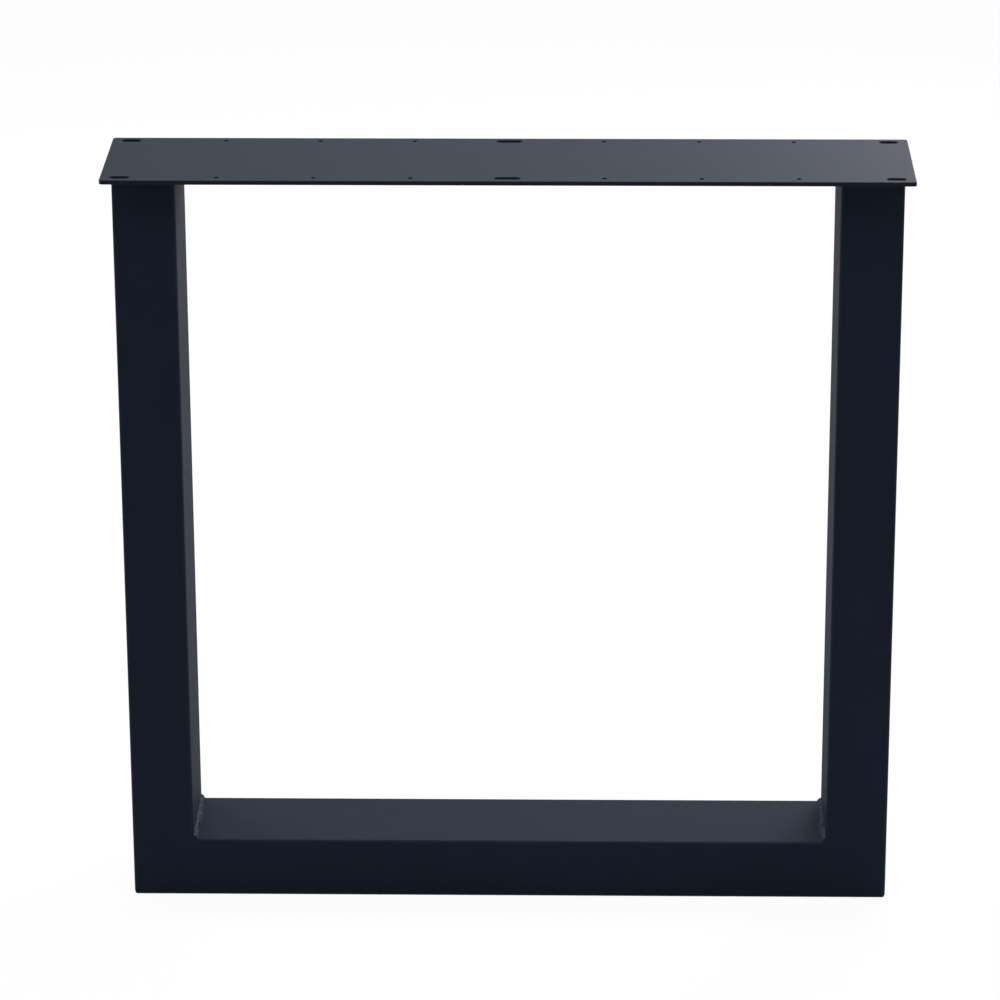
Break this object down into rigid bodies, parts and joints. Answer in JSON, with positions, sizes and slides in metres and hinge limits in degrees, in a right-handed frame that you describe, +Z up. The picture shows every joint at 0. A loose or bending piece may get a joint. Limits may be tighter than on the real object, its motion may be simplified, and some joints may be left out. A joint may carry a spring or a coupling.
{
  "type": "u shaped table leg",
  "caption": "U-shaped table leg of welded rectangular steel tube, satin blue-black, under a flat slotted plate that screws to a table top.",
  "frame": {"origin": "on the floor, under the middle of the foot rail", "axes": "+X along the foot rail and the plate, +Y through the depth of the tube, +Z up"},
  "size_m": [0.738, 0.14, 0.72],
  "materials": {
    "powder_coat": "satin blue-black powder coat on steel",
    "coated_weld": "the same powder coat over a rippled weld bead"
  },
  "bodies": {
    "root": {"top_plate": "powder_coat", "left_upright": "powder_coat", "right_upright": "powder_coat", "foot_rail": "powder_coat", "left_corner_weld": "coated_weld", "right_corner_weld": "coated_weld", "left_plate_weld": "coated_weld", "right_plate_weld": "coated_weld"}
  },
  "joints": []
}
